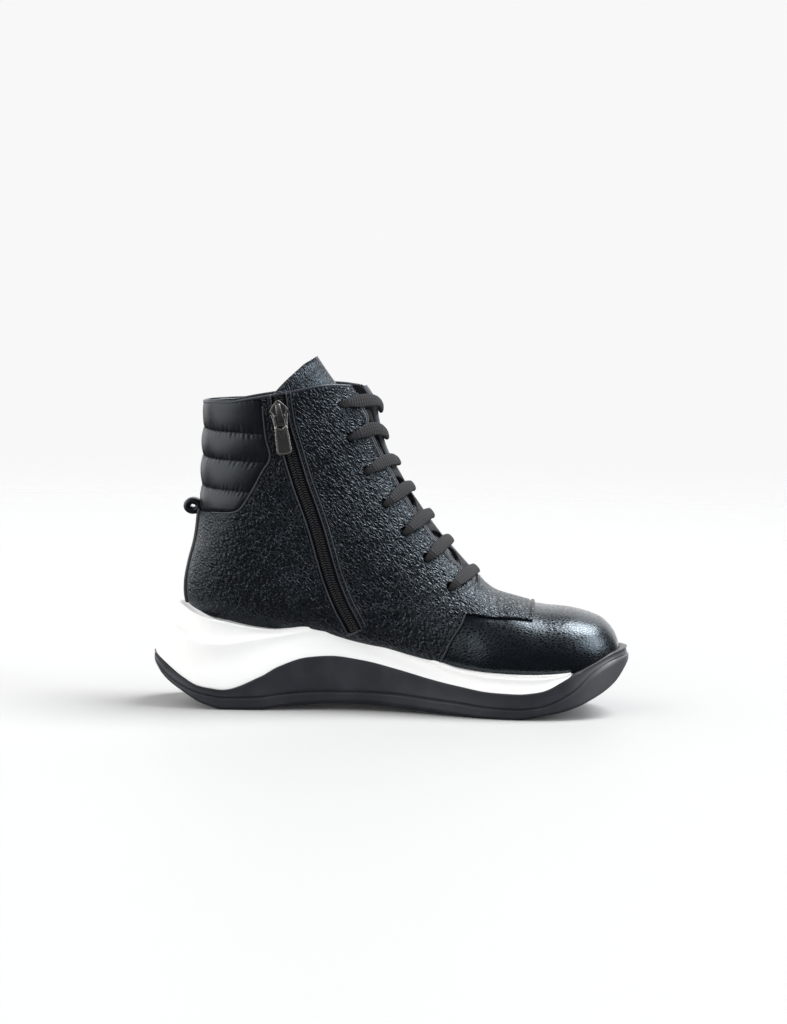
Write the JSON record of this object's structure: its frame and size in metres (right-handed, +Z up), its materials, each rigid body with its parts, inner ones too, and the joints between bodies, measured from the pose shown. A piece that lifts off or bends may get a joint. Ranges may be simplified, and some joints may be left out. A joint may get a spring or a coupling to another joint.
{
  "type": "ankle boot",
  "caption": "High-top lace-up ankle boot with a side zip, padded collar and a two-layer waved sole, for the left foot.",
  "frame": {"origin": "on the floor, below the middle of the boot's length and width", "axes": "+X towards the toe, +Y towards the outer side of the left foot, +Z up"},
  "size_m": [0.28, 0.1026, 0.2055],
  "materials": {
    "outsole_rubber": "matte moulded rubber",
    "midsole_foam": "matte moulded foam",
    "grained_leather": "pebbled, semi-gloss",
    "smooth_leather": "smooth, semi-gloss",
    "lining": "napped textile",
    "lace_cord": "flat ribbed weave",
    "zip_tape": "woven tape",
    "zip_teeth": "nylon coil",
    "zip_metal": "antique nickel"
  },
  "bodies": {
    "boot": {"outsole": "outsole_rubber", "midsole": "midsole_foam", "upper": "grained_leather", "insole": "lining", "tongue": "grained_leather", "collar_pad": "smooth_leather", "heel_strip": "smooth_leather", "toe_tab": "grained_leather", "pull_loop": "smooth_leather", "laces": "lace_cord", "zip_tape": "zip_tape", "zip_teeth": "zip_teeth", "zip_slider": "zip_metal"},
    "zip_tab": {"zip_pull": "zip_metal"}
  },
  "joints": [
    {"name": "tab_hinge", "type": "hinge", "parent": "boot", "child": "zip_tab", "pos_m": [-0.06567, -0.03392, 0.17151], "axis": [0.9863, 0.0597, 0.154], "range_deg": [-150, 0]}
  ]
}
